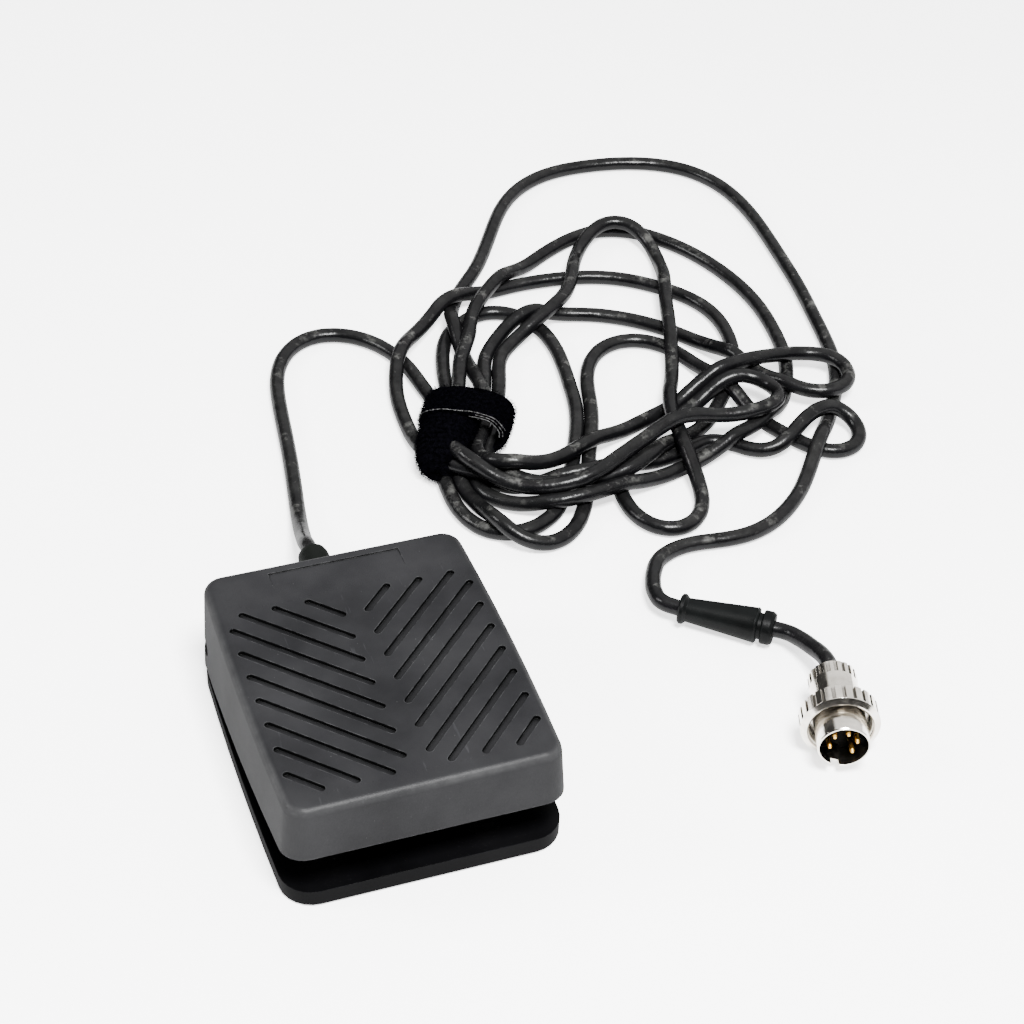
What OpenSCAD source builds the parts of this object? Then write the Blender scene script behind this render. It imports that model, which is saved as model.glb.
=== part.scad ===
// Single-pedal foot switch: a hinged hollow cover over a flat base plate, a lever-operated
// snap switch inside, and a long round cord that ends in a screw-lock plug.
// Units are millimetres. The table is z = 0, the cord leaves towards +Y, the foot faces -Y.

/* [Pedal cover] */
// Width of the cover across its straight ends
cover_w = 70; // [66:1:84]
// Length of the cover from front to rear
cover_l = 88; // [84:1:100]
// Height of the front wall, from its lower edge to the top
front_wall_h = 15; // [12:0.5:20]
// Gap under the front wall when nobody presses
front_gap = 11.8; // [11:0.1:16]
// Gap under the rear wall
rear_gap = 0.5; // [0.3:0.1:1]
// How far each long side bows outwards at its middle
side_bow = 1; // [0:0.1:2]
// Radius of the upright corners
cover_corner_r = 6; // [5:0.5:8]
// Thickness of the walls
wall_t = 2.2; // [1.6:0.1:2.6]
// Thickness of the top
roof_t = 2.4; // [2:0.1:3]
// Lean of each wall over its height
draft = 1; // [0.2:0.1:1.5]
// Rounding along the top edges
top_fillet = 2.5; // [1.5:0.1:3]
// Thickness of the stiffening ribs
rib_t = 1.5; // [1:0.1:2]
// Depth of the stiffening ribs below the top
rib_h = 4; // [2:0.5:5]

/* [Tread grooves] */
// Width of one groove
groove_w = 1.9; // [1:0.1:2.4]
// Depth of one groove
groove_d = 1; // [0.4:0.1:1.4]
// Distance from one groove to the next, front to rear
groove_pitch = 8.5; // [7:0.1:10]
// Number of grooves on each side
groove_count = 10; // [4:1:10]
// Plain strip between the middle line and the inner ends
groove_gap = 3.3; // [2:0.1:6]
// Plain strip between the cover's side and the outer ends
groove_side = 4.2; // [4:0.1:8]
// Plain strip at the front
groove_front = 7.5; // [6:0.1:12]
// Plain strip at the rear
groove_rear = 18; // [12:0.1:24]
// Distance from the cover's rear end to the first chevron's point
chevron_rear = 25; // [18:0.1:30]
// Width of the bare name panel
panel_w = 34.5; // [24:0.5:40]
// Length of the bare name panel
panel_l = 7; // [5:0.5:9]
// Depth of the name panel along its rear edge
panel_d = 0.4; // [0.2:0.1:0.8]

/* [Base plate] */
// Thickness of the plate
base_t = 4.4; // [3.6:0.1:6]
// How far the plate reaches past the cover on every side
base_margin = 0; // [0:0.1:2]
// Radius of the plate's corners
base_corner_r = 8; // [6:0.5:10]
// Radius of a rubber foot
foot_r = 5; // [4:0.5:6]
// Depth of the pocket that holds a foot
foot_pocket = 1.2; // [0.8:0.1:2]
// How far the feet stand below the plate
foot_proud = 0.6; // [0.4:0.1:1.5]
// Distance from the plate's ends and sides to a foot's centre
foot_inset = 10; // [9:0.5:16]

/* [Hinge] */
// Distance from the cover's rear end to the hinge axis
pivot_inset = 7.5; // [7:0.1:9]
// Height of the hinge axis above the plate
pivot_h = 8.1; // [7:0.1:10]
// Radius of a hinge barb
barb_r = 2; // [1.5:0.1:2.5]
// Play round the hinge barbs, plunger and lever pin
pin_play = 0.05; // [0.02:0.01:0.09]
// Extra length of the side slots behind the barbs
slot_run = 1.8; // [0.5:0.1:2.5]
// Thickness of a hinge ear
ear_t = 2.4; // [1.8:0.1:3]
// Side gap between an ear and the wall
ear_gap = 0.6; // [0.4:0.1:1]
// Angle of the cover's full stroke
press_angle = 6.5; // [5:0.1:6.8]

/* [Return springs] */
// Mean radius of a spring
spring_r = 4; // [3.2:0.1:4.5]
// Thickness of the spring wire
spring_wire = 0.9; // [0.6:0.1:1.2]
// Number of turns
spring_turns = 7; // [5:1:9]
// Distance of each spring from the middle line
spring_x = 20; // [19:0.5:22]
// Distance from the cover's front to the springs
spring_front = 20; // [18:0.5:24]
// Height of the springs' seat above the plate
spring_seat_h = 3; // [2:0.1:5]

/* [Snap switch] */
// Length of the case
switch_l = 27.8; // [26:0.1:29]
// Height of the case
switch_h = 15.9; // [14.5:0.1:17]
// Thickness of the case, with its lid
switch_w = 10.3; // [9:0.1:11]
// Thickness of the lid
lid_t = 1.8; // [1.2:0.1:2.5]
// Lengthwise distance between the two fixing holes
switch_hole_l = 22.2; // [21:0.1:22.6]
// Height difference between the two fixing holes
switch_hole_h = 10.3; // [9:0.1:10.6]
// Height of the lower fixing hole above the case's underside
switch_hole_low = 2.8; // [2.6:0.1:3.2]
// Distance from the case's middle back to the lever pin
lever_back = 11; // [10:0.1:12]
// Length of the lever from its pin to where the cover touches it
lever_reach = 22; // [20:0.5:23]
// Length of the lever beyond that point
lever_tip = 2; // [1:0.5:3]
// Width of the lever
lever_w = 4.6; // [3.5:0.1:5]
// Thickness of the lever
lever_t = 0.5; // [0.3:0.1:0.7]
// Radius of the plunger
plunger_r = 1.55; // [1.2:0.05:1.7]
// Distance from the lever pin forward to the plunger
plunger_ahead = 7; // [6:0.1:8]
// Thickness of the bracket that carries the switch
bracket_t = 2.9; // [2:0.1:4]

/* [Cord] */
// Diameter of the cord
cord_d = 4.5; // [4:0.1:5]
// Height of the cord above the plate where it leaves
cord_rise = 10.6; // [9:0.1:11]
// Length of the boot behind the cover
boot_out = 18; // [8:0.5:20]
// Radius of the boot where it passes the rear wall
boot_r = 4.7; // [4:0.1:5]
// Radius of the boot's tail
boot_tail_r = 4.2; // [2.8:0.1:4.4]
// Gap round the boot in the rear wall
boot_gap = 0.9; // [0.6:0.1:1.4]
// Thickness of the cord clamp along the cord
clamp_l = 3.8; // [3:0.1:4.4]
// Half width of the cord clamp
clamp_half_w = 9; // [8.6:0.1:10]

/* [Cord sleeve] */
// Length of the sleeve
sleeve_l = 25.9; // [22:0.1:28]
// Radius of the flange at the cord end
sleeve_flange_r = 4.15; // [3.8:0.05:4.6]
// Radius of the body's thin end
sleeve_thin_r = 3.3; // [3:0.1:3.6]
// Radius of the body's thick end
sleeve_thick_r = 4.95; // [4.4:0.05:5]
// Radius of the collar at the plug end
sleeve_collar_r = 4.6; // [4:0.1:5]

/* [Plug] */
// Overall length of the plug
plug_l = 25.5; // [24:0.1:28]
// Radius of the back shell
back_shell_r = 6.3; // [6.2:0.1:6.7]
// Length of the back shell
back_shell_l = 13.1; // [12:0.1:14]
// Outer radius of the coupling ring
ring_r = 10.2; // [9.6:0.1:11]
// Length of the coupling ring
ring_l = 5.9; // [4.2:0.1:6.2]
// Number of grip slots on the coupling ring
ring_slots = 24; // [16:1:30]
// Outer radius of the contact shell
shell_r = 6.7; // [6.6:0.05:6.8]
// Wall of the contact shell
shell_wall = 0.5; // [0.4:0.05:0.8]
// Radius of one contact pin
contact_r = 0.72; // [0.5:0.01:0.8]
// Radius of the circle of contact pins
contact_circle_r = 3.5; // [3:0.1:3.8]
// Running play between the coupling ring and the contact shell
ring_play = 0.1; // [0.05:0.01:0.15]

/* [Hidden] */
$fn = 64;
cut = 1;                     // how far a cutting solid runs past what it cuts
base_bottom = foot_proud;
base_top = base_bottom + base_t;
base_w = cover_w + 2 * base_margin;
base_l = cover_l + 2 * base_margin;

cover_front_y = -cover_l / 2;
cover_rear_y = cover_l / 2;
cover_front_z = base_top + front_gap;
cover_rear_z = base_top + rear_gap;
cover_top = cover_front_z + front_wall_h;
roof_under = cover_top - roof_t;
inner_fillet = 1;
corner_steps = 6;
side_steps = 6;
fillet_steps = 5;

pivot_y = cover_rear_y - pivot_inset;
pivot_z = base_top + pivot_h;
ear_r = barb_r + 1.3;
cover_wall_x = cover_w / 2 - 0.3;        // outer face of the side wall beside the hinge
cover_inner_x = cover_wall_x - wall_t;
ear_x = cover_inner_x - ear_gap;
barb_end_x = cover_wall_x - 0.3;

cord_r = cord_d / 2;
cord_z = base_top + cord_rise;
rear_wall_y = cover_rear_y - wall_t;
clamp_front_y = pivot_y - 1.5;
clamp_rear_y = clamp_front_y + clamp_l;
boot_neck_r = boot_r - 0.9;
boot_flange_r = boot_r + 0.5;
boot_flange_t = 1.4;
boot_end_y = cover_rear_y + boot_out;
jacket_end_y = clamp_front_y - 6;
clamp_split = 0.2;
clamp_h = boot_neck_r + 1.6;
clamp_screw_x = 6.7;
clamp_screw_r = 1.25;
clamp_head_r = 2.3;
clamp_head_h = 1.7;
clamp_screw_depth = 7;
screw_play = 0.05;

switch_top = base_top + switch_h;
switch_front_y = -switch_l / 2;
switch_rear_y = switch_l / 2;
switch_x = switch_w / 2;
lid_inner_x = -switch_x + lid_t;
m3_r = 1.5;
m3_head_r = 2.75;
m3_head_h = 2;
m3_nut_r = 3.17;
m3_nut_h = 2.4;
bracket_rim = 1.8;
bracket_x = switch_x + bracket_t;
bracket_h = switch_hole_low + switch_hole_h + bracket_rim;
switch_holes = [[-switch_hole_l / 2, base_top + switch_hole_low],
                [switch_hole_l / 2, base_top + switch_hole_low + switch_hole_h]];

lever_angle = press_angle * (pivot_y - lever_back + lever_reach) / lever_reach;
lever_pin_r = 0.6;
lever_barrel_r = lever_pin_r + pin_play + 0.45;
lever_pin_z = switch_top + lever_barrel_r;
lug_t = 1.2;
lug_gap = 0.15;
touch_gap = 0.3;
plunger_y = lever_back - plunger_ahead;
plunger_dome = 0.5;
plunger_top = lever_pin_z + plunger_ahead * tan(lever_angle) - lever_t / 2 / cos(lever_angle) - 0.25;
plunger_hole_depth = 5;
contact_y = lever_back - lever_reach;
contact_z = lever_pin_z + lever_reach * tan(lever_angle) + lever_t / 2 / cos(lever_angle);
nose_r = 1.5;
nose_w = 6;

blade_z = [for (k = [0:2]) base_top + switch_h * (0.22 + 0.26 * k)];
blade_w = 4.75;
blade_t = 0.5;
blade_l = 6.3;
crimp_w = 6;
crimp_h = 2.4;
crimp_l = 7;
crimp_start = 2.5;
core_r = 0.65;
crimp_end_y = switch_rear_y + crimp_start + crimp_l;

spring_y = cover_front_y + spring_front;
spring_seat_z = base_top + spring_seat_h;
spring_stud_r = spring_r - spring_wire / 2 - 0.35;
spring_cup_r = spring_r + spring_wire / 2 + 0.5;
spring_cup_h = 3;

hook_y = cover_front_y + 40;
hook_w = 8;
hook_t = 2.2;
hook_lip = 2.6;
hook_lip_h = 2.5;
ledge_t = 2;
ledge_in = 3.2;
hook_wall_x = cover_w / 2 + side_bow * (1 - pow(hook_y / (cover_l / 2), 2)) - draft / 2 - wall_t;
ledge_z = cover_bottom(hook_y) + 3;
hook_post_x = hook_wall_x - ledge_in - hook_t - 0.8;
stop_front = 10;
stop_x = cover_w / 2 - 9;
stop_r = 2.2;
stop_y = cover_front_y + stop_front;
stop_z = base_top + (pivot_y - stop_y) * sin(press_angle) + 0.5;
rib_x = 12.5;

// Where the free pieces lie on the table
sleeve_at = [91.5, 22.7, 5];
sleeve_turn = -36;
plug_at = [116.6, -18.4, ring_r];
plug_turn = -18;
plug_roll = -105;
plug_aim = [sin(plug_turn), -cos(plug_turn), 0];
sleeve_aim = [cos(sleeve_turn), sin(sleeve_turn), 0];
sleeve_end = sleeve_at + sleeve_l * sleeve_aim;
floor_z = cord_r + 0.05;

// The cord's route from the boot to the coil
lead_in_route = [[0, boot_end_y, cord_z], [0, boot_end_y + 2, cord_z], [0.3, 69, 13.2], [1.5, 76, 9],
    [3, 85, 5.3], [4.8, 95, 3], [7, 107, floor_z], [9, 119, floor_z], [11, 133, floor_z], [13, 147, floor_z],
    [16, 160, floor_z], [22, 170, floor_z], [30, 175, floor_z], [38, 174, floor_z], [46, 169, floor_z],
    [52, 160, floor_z], [55, 150, floor_z], [57.5, 141, 3], [61, 133, 4.5], [67, 127, 6]];

// The cord's route from the coil, round the large free loop, to the sleeve
lead_out_route = [[74, 142, 8], [73, 152, 9], [73.5, 164, 8], [77, 175, 6], [84, 185, 4], [92, 196, floor_z],
    [98, 206, floor_z], [104, 216, floor_z], [110, 226, floor_z], [119, 236, floor_z], [132, 243, floor_z],
    [148, 244, floor_z], [165, 241, floor_z], [179, 233, floor_z], [187, 220, floor_z], [190, 204, floor_z],
    [190, 188, floor_z], [189, 172, floor_z], [188, 157, floor_z], [186, 143, floor_z],
    [184, 129, floor_z], [181, 114, floor_z], [176, 103, floor_z], [169, 92, floor_z], [161, 81, floor_z],
    [153, 71, floor_z], [144, 60, floor_z], [134, 52, floor_z], [125, 48, floor_z], [116, 47.5, floor_z],
    [107, 49.5, floor_z], [100, 48.5, floor_z], [94, 44.5, 2.7], [90.8, 39.5, 3.2], [88.6, 34.5, 3.9],
    [87.6, 30, 4.5], [87.9, 26.7, 4.9], sleeve_at - 2.5 * sleeve_aim, sleeve_at];

// The short stretch between the sleeve and the plug
tail_route = [sleeve_end, sleeve_end + 3 * sleeve_aim, [117, 1, 6], [118.2, -5, 7.5], [118.5, -11, 9.3],
    plug_at - 3 * plug_aim, plug_at];

// The loosely wound turns as one flat ring, clockwise from the strap: [x, y, half width]
coil_line = [[61, 111, 10.5], [73, 131, 11.5], [86, 150, 15], [109, 165, 18], [134, 162, 20], [149, 141, 20],
    [146, 117, 20], [129, 99, 19], [106, 88, 16], [84, 78, 13], [65, 75, 11], [54, 86, 10], [54, 98, 10.3]];
coil_h = 14;
coil_steps = 4;

// The strap: a flat band, and in front of it a second winding round the outer turns
strap_at = [61, 111];
strap_turn = -32;            // heading of the band across the turns
strap_t = 2.2;
strap_l = 12;                // length along the turns
strap_outer_w = 26;
strap_outer_h = coil_h + strap_t;
wrap_l = 17;
wrap_x = -6;
wrap_outer_w = 13;
wrap_outer_h = 12.5;

function mix(a, b, t) = a + (b - a) * t;
function unit(v) = v / norm(v);

// Height of the cover's lower edge at the place y
function cover_bottom(y) = mix(cover_front_z, cover_rear_z, (y + cover_l / 2) / cover_l);

// One corner of an outline, as an arc of a quarter turn
function corner(cx, cy, r, from) =
    [for (i = [0:corner_steps]) let (a = from + 90 * i / corner_steps) [cx + r * cos(a), cy + r * sin(a)]];

// A rectangle with round corners whose long sides bow outwards, drawn anticlockwise
function bowed_outline(w, l, r) =
    let (cx = w / 2 - r, cy = l / 2 - r,
        plain = concat(corner(cx, cy, r, 0), corner(-cx, cy, r, 90),
            [for (i = [1:side_steps - 1]) [-w / 2, mix(cy, -cy, i / side_steps)]],
            corner(-cx, -cy, r, 180), corner(cx, -cy, r, 270),
            [for (i = [1:side_steps - 1]) [w / 2, mix(-cy, cy, i / side_steps)]]))
    [for (p = plain) [p.x * (1 + side_bow * (1 - pow(2 * p.y / l, 2)) * 2 / w), p.y]];

// The cover's outline, drawn in by inset
function cover_outline(inset) =
    bowed_outline(cover_w - 2 * inset, cover_l - 2 * inset, cover_corner_r - inset);
function level_ring(inset, z) = [for (p = cover_outline(inset)) [p.x, p.y, z]];
function sloped_ring(inset, drop) = [for (p = cover_outline(inset)) [p.x, p.y, cover_bottom(p.y) - drop]];

// A rounded top edge: rings from the wall to the flat top
function fillet_rings(inset, top, r, steps) =
    [for (i = [0:steps]) let (a = 90 * i / steps) level_ring(inset + r * (1 - cos(a)), top - r + r * sin(a))];

// A closed solid through rings of equally many points
module loft(rings) {
    n = len(rings[0]);
    last = len(rings) - 1;
    polyhedron(
        points = [for (ring = rings, p = ring) p],
        faces = concat(
            [[for (i = [0:n - 1]) i]],
            [for (j = [0:last - 1], i = [0:n - 1]) [j * n + i, (j + 1) * n + i, (j + 1) * n + (i + 1) % n]],
            [for (j = [0:last - 1], i = [0:n - 1])
                [j * n + i, (j + 1) * n + (i + 1) % n, j * n + (i + 1) % n]],
            [[for (i = [n - 1:-1:0]) last * n + i]]));
}

// A smooth closed line through the points, cut into steps from each to the next
function smooth_ring(points, steps) =
    let (n = len(points))
    [for (i = [0:n - 1], k = [0:steps - 1])
        let (t = k / steps, a = points[(i + n - 1) % n], b = points[i], c = points[(i + 1) % n],
            d = points[(i + 2) % n])
        b + ((c - a) * t + (2 * a - 5 * b + 4 * c - d) * pow(t, 2) + (3 * b - 3 * c + d - a) * pow(t, 3)) / 2];

// A closed ring through sections of equally many points
module closed_loft(rings) {
    n = len(rings[0]);
    m = len(rings);
    polyhedron(
        points = [for (ring = rings, p = ring) p],
        faces = concat(
            [for (j = [0:m - 1], i = [0:n - 1])
                [j * n + i, (j + 1) % m * n + i, (j + 1) % m * n + (i + 1) % n]],
            [for (j = [0:m - 1], i = [0:n - 1])
                [j * n + i, (j + 1) % m * n + (i + 1) % n, j * n + (i + 1) % n]]));
}

// A round tube along a path
module tube(path, r, sides) {
    last = len(path) - 1;
    loft([for (i = [0:last])
        let (t = unit(path[min(i + 1, last)] - path[max(i - 1, 0)]),
            s = unit(cross(t, [0, 0, 1])),
            u = cross(s, t))
        [for (k = [0:sides - 1]) let (a = 360 * k / sides) path[i] + r * cos(a) * s - r * sin(a) * u]]);
}

// A cylinder along +X
module rod_x(x0, x1, r) {
    translate([x0, 0, 0]) rotate([0, 90, 0]) cylinder(r = r, h = x1 - x0);
}

// A cylinder along +Y
module rod_y(y0, y1, r) {
    translate([0, y1, 0]) rotate([90, 0, 0]) cylinder(r = r, h = y1 - y0);
}

// Both sides of the middle plane
module both_sides() {
    children();
    mirror([1, 0, 0]) children();
}

module at_switch_holes() {
    for (p = switch_holes) translate([0, p.x, p.y]) children();
}

module at_clamp_screws() {
    for (x = [-clamp_screw_x, clamp_screw_x])
        translate([x, (clamp_front_y + clamp_rear_y) / 2, cord_z + clamp_h]) children();
}

module at_feet() {
    for (x = [-1, 1], y = [-1, 1])
        translate([x * (base_w / 2 - foot_inset), y * (base_l / 2 - foot_inset), 0]) children();
}

// ---- base ----

module hinge_ear() {
    difference() {
        translate([ear_x - ear_t, 0, 0]) union() {
            translate([0, pivot_y - ear_r, base_top - cut]) cube([ear_t, 2 * ear_r, pivot_h + cut]);
            translate([0, pivot_y, pivot_z]) rod_x(0, ear_t, ear_r);
        }
        // lead-in slope that lets the ear spring inwards at assembly
        translate([ear_x, pivot_y - ear_r - cut, pivot_z + ear_r - 0.8])
            rotate([0, -30, 0]) cube([2, 2 * (ear_r + cut), 3]);
    }
    translate([0, pivot_y, pivot_z]) rod_x(ear_x - cut, barb_end_x, barb_r);
}

module stop_hook() {
    translate([hook_post_x, hook_y - hook_w / 2, base_top - cut])
        cube([hook_t, hook_w, ledge_z + ledge_t + touch_gap + hook_lip_h - base_top + cut]);
    translate([hook_post_x, hook_y - hook_w / 2, ledge_z + ledge_t + touch_gap])
        cube([hook_t + hook_lip, hook_w, hook_lip_h]);
}

module spring_seat() {
    translate([spring_x, spring_y, base_top - cut]) cylinder(r = spring_cup_r, h = spring_seat_h + cut);
    translate([spring_x, spring_y, base_top]) cylinder(r = spring_stud_r, h = spring_seat_h + 3);
}

module base_plate() {
    color("#101012") difference() {
        union() {
            translate([0, 0, base_bottom])
                linear_extrude(base_t) polygon(bowed_outline(base_w, base_l, base_corner_r));
            both_sides() {
                hinge_ear();
                stop_hook();
                spring_seat();
            }
            // upright bracket beside the switch
            translate([switch_x, switch_front_y, base_top - cut])
                cube([bracket_t, switch_l, bracket_h + cut]);
            // lower half of the cord clamp
            translate([-clamp_half_w, clamp_front_y, base_top - cut])
                cube([2 * clamp_half_w, clamp_l, cord_rise + cut - clamp_split / 2]);
        }
        at_switch_holes() rod_x(switch_x - cut, bracket_x + cut, m3_r + screw_play);
        translate([0, 0, cord_z]) rod_y(clamp_front_y - cut, clamp_rear_y + cut, boot_neck_r + screw_play);
        at_clamp_screws() translate([0, 0, -clamp_h - clamp_screw_depth])
            cylinder(r = clamp_screw_r + screw_play, h = clamp_screw_depth + cut);
        at_feet() translate([0, 0, base_bottom - cut]) cylinder(r = foot_r + screw_play, h = foot_pocket + cut);
    }
}

module rubber_feet() {
    color("#1b1b1b") at_feet() cylinder(r = foot_r, h = foot_proud + foot_pocket);
}

// ---- pedal cover ----

module cover_body() {
    loft(concat([sloped_ring(0, 0)], fillet_rings(draft, cover_top, top_fillet, fillet_steps)));
}

module cover_hollow() {
    loft(concat([sloped_ring(wall_t, cut)], fillet_rings(draft + wall_t, roof_under, inner_fillet, 2)));
}

// One groove from the place a to the place b on the top
module groove(a, b) {
    turn = atan2(b.y - a.y, b.x - a.x);
    translate([a.x, a.y, cover_top - groove_d]) {
        cylinder(r = groove_w / 2, h = groove_d + cut, $fn = 24);
        rotate([0, 0, turn]) translate([0, -groove_w / 2, 0]) cube([norm(b - a), groove_w, groove_d + cut]);
    }
    translate([b.x, b.y, cover_top - groove_d]) cylinder(r = groove_w / 2, h = groove_d + cut, $fn = 24);
}

// Slanting grooves on the right half: each starts at the middle strip and runs outwards and to the rear
module half_tread() {
    side = cover_w / 2 - groove_side;
    front = cover_front_y + groove_front;
    rear = cover_rear_y - groove_rear;
    for (k = [0:groove_count - 1]) {
        y0 = cover_rear_y - chevron_rear - groove_pitch * k - groove_gap;
        x1 = max(groove_gap, front - y0);
        x2 = min(side, rear - y0);
        if (x2 > x1 + groove_w) groove([x1, y0 + x1], [x2, y0 + x2]);
    }
}

module name_panel() {
    translate([-panel_w / 2, cover_rear_y - draft - top_fillet - 1.3, cover_top]) rotate([90, 0, 90])
        linear_extrude(panel_w) polygon([[0, cut], [0, -panel_d], [-panel_l, 0], [-panel_l, cut]]);
}

module side_slot() {
    translate([0, pivot_y, pivot_z]) rod_x(cover_inner_x - cut, cover_w / 2 + 3, barb_r + pin_play);
    translate([0, pivot_y + slot_run, pivot_z]) rod_x(cover_inner_x - cut, cover_w / 2 + 3, barb_r + pin_play);
    translate([cover_inner_x - cut, pivot_y, pivot_z - barb_r - pin_play])
        cube([wall_t + cut + 4, slot_run, 2 * (barb_r + pin_play)]);
}

module cord_notch() {
    notch_r = boot_r + boot_gap;
    translate([0, 0, cord_z]) rod_y(rear_wall_y - 2, cover_rear_y + cut, notch_r);
    translate([-notch_r, rear_wall_y - 2, base_bottom]) cube([2 * notch_r, wall_t + 3, cord_z - base_bottom]);
}

module cover_fittings() {
    both_sides() {
        translate([rib_x, cover_front_y + 4, roof_under - rib_h])
            cube([rib_t, cover_l - 8, rib_h + cut]);
        difference() {
            translate([spring_x, spring_y, roof_under - spring_cup_h])
                cylinder(r = spring_cup_r + 1.2, h = spring_cup_h + cut);
            translate([spring_x, spring_y, roof_under - spring_cup_h - cut])
                cylinder(r = spring_cup_r, h = spring_cup_h + cut);
        }
        translate([stop_x, stop_y, stop_z]) cylinder(r = stop_r, h = roof_under - stop_z + cut);
        // ledge that meets the base's hook and holds the cover down at rest
        translate([hook_wall_x - ledge_in, hook_y - hook_w / 2 - 1, ledge_z])
            cube([ledge_in + 1, hook_w + 2, ledge_t]);
    }
    // nose that presses the switch lever
    translate([0, contact_y, contact_z + touch_gap + nose_r]) rod_x(-nose_w / 2, nose_w / 2, nose_r);
    translate([-nose_w / 2, contact_y - nose_r, contact_z + touch_gap + nose_r])
        cube([nose_w, 2 * nose_r, max(0.5, roof_under - contact_z - touch_gap - nose_r + cut)]);
}

module pedal_cover() {
    color("#26262a") difference() {
        union() {
            difference() {
                cover_body();
                cover_hollow();
            }
            cover_fittings();
        }
        both_sides() {
            half_tread();
            side_slot();
        }
        name_panel();
        cord_notch();
    }
}

module return_springs() {
    low = spring_seat_z + spring_wire / 2;
    high = roof_under - spring_wire / 2;
    steps = 14;
    color("#b9bcc0") both_sides() translate([spring_x, spring_y, 0])
        tube([for (i = [0:spring_turns * steps])
            let (a = 360 * i / steps, t = i / (spring_turns * steps),
                rise = min(1, max(0, (t * spring_turns - 0.8) / (spring_turns - 1.6))))
            [spring_r * cos(a), spring_r * sin(a), mix(low, high, mix(t, rise, 0.75))]],
            spring_wire / 2, 6);
}

// ---- snap switch ----

module switch_case() {
    color("#8a2f22") difference() {
        union() {
            translate([lid_inner_x, switch_front_y, base_top]) cube([switch_x - lid_inner_x, switch_l, switch_h]);
            for (x = [-lever_w / 2 - lug_gap - lug_t, lever_w / 2 + lug_gap])
                translate([x, lever_back - lever_barrel_r, switch_top - cut])
                    cube([lug_t, 2 * lever_barrel_r, 2 * lever_barrel_r + cut]);
        }
        at_switch_holes() rod_x(lid_inner_x - cut, switch_x + cut, m3_r + screw_play);
        translate([0, plunger_y, switch_top - plunger_hole_depth])
            cylinder(r = plunger_r + pin_play, h = plunger_hole_depth + cut);
        translate([0, lever_back, lever_pin_z]) rod_x(-switch_x, switch_x, lever_pin_r + screw_play);
    }
}

module switch_lid() {
    color("#3a1a15") difference() {
        translate([-switch_x, switch_front_y, base_top]) cube([lid_t, switch_l, switch_h]);
        at_switch_holes() rod_x(-switch_x - cut, lid_inner_x + cut, m3_r + screw_play);
    }
}

module switch_plunger() {
    bottom = switch_top - plunger_hole_depth + (lever_reach + 1) * sin(press_angle);
    color("#e8e6df") translate([0, plunger_y, 0]) rotate_extrude()
        polygon([[0, bottom], [plunger_r, bottom], [plunger_r, plunger_top - plunger_dome],
            [plunger_r * 0.7, plunger_top - plunger_dome * 0.3], [0, plunger_top]]);
}

module switch_lever() {
    strip_start = lever_barrel_r - 0.15;
    color("#c9ccd0") translate([0, lever_back, lever_pin_z]) {
        difference() {
            rod_x(-lever_w / 2, lever_w / 2, lever_barrel_r);
            rod_x(-lever_w / 2 - cut, lever_w / 2 + cut, lever_pin_r + pin_play);
        }
        rotate([-lever_angle, 0, 0]) translate([-lever_w / 2, -lever_reach - lever_tip, -lever_t / 2])
            cube([lever_w, lever_reach + lever_tip - strip_start, lever_t]);
    }
}

module lever_pin() {
    half = lever_w / 2 + lug_gap + lug_t;
    color("#d8dadd") translate([0, lever_back, lever_pin_z]) rod_x(-half, half, lever_pin_r);
}

module switch_terminals() {
    color("#d2cfc4") for (z = blade_z) difference() {
        translate([-blade_w / 2, switch_rear_y, z]) cube([blade_w, blade_l, blade_t]);
        translate([0, switch_rear_y + blade_l - 2, z - cut]) cylinder(r = 0.8, h = blade_t + 2 * cut);
    }
}

module crimp_sleeves() {
    color("#a8281e") for (z = blade_z) translate([0, switch_rear_y + crimp_start, z + blade_t / 2])
        difference() {
            translate([-crimp_w / 2, 0, -crimp_h / 2]) cube([crimp_w, crimp_l, crimp_h]);
            translate([-blade_w / 2 - screw_play, -cut, -blade_t / 2 - screw_play])
                cube([blade_w + 2 * screw_play, blade_l - crimp_start + cut + 0.2, blade_t + 2 * screw_play]);
        }
}

module core_wires() {
    colors = ["#7a4a22", "#2458a8", "#101010"];
    for (k = [0:2]) {
        z = blade_z[k] + blade_t / 2;
        end = [[-0.7, 0.7, -0.7][k], jacket_end_y, cord_z + 1.2 * (k - 1)];
        color(colors[k]) tube([[0, crimp_end_y, z], [0, crimp_end_y + 1.5, z],
            [end.x / 2, mix(crimp_end_y, jacket_end_y, 0.5), mix(z, end.z, 0.5)],
            [end.x, jacket_end_y - 1, end.z], end], core_r, 8);
    }
}

module switch_screws() {
    color("#b4b7bb") at_switch_holes() difference() {
        union() {
            rod_x(-switch_x, bracket_x + m3_nut_h + 0.4, m3_r);
            rod_x(-switch_x - m3_head_h, -switch_x, m3_head_r);
        }
        for (a = [0, 90]) rotate([a, 0, 0])
            translate([-switch_x - m3_head_h - cut, -0.35, -1.6]) cube([cut + 1, 0.7, 3.2]);
    }
}

module switch_nuts() {
    color("#b4b7bb") at_switch_holes() difference() {
        translate([bracket_x, 0, 0]) rotate([30, 0, 0]) rotate([0, 90, 0])
            cylinder(r = m3_nut_r, h = m3_nut_h, $fn = 6);
        rod_x(bracket_x - cut, bracket_x + m3_nut_h + cut, m3_r + screw_play);
    }
}

// ---- cord entry ----

module cord_clamp() {
    color("#1a1a1c") difference() {
        translate([-clamp_half_w, clamp_front_y, cord_z + clamp_split / 2])
            cube([2 * clamp_half_w, clamp_l, clamp_h - clamp_split / 2]);
        translate([0, 0, cord_z]) rod_y(clamp_front_y - cut, clamp_rear_y + cut, boot_neck_r + screw_play);
        at_clamp_screws() translate([0, 0, -clamp_h - cut])
            cylinder(r = clamp_screw_r + screw_play, h = clamp_h + 2 * cut);
    }
}

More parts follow.
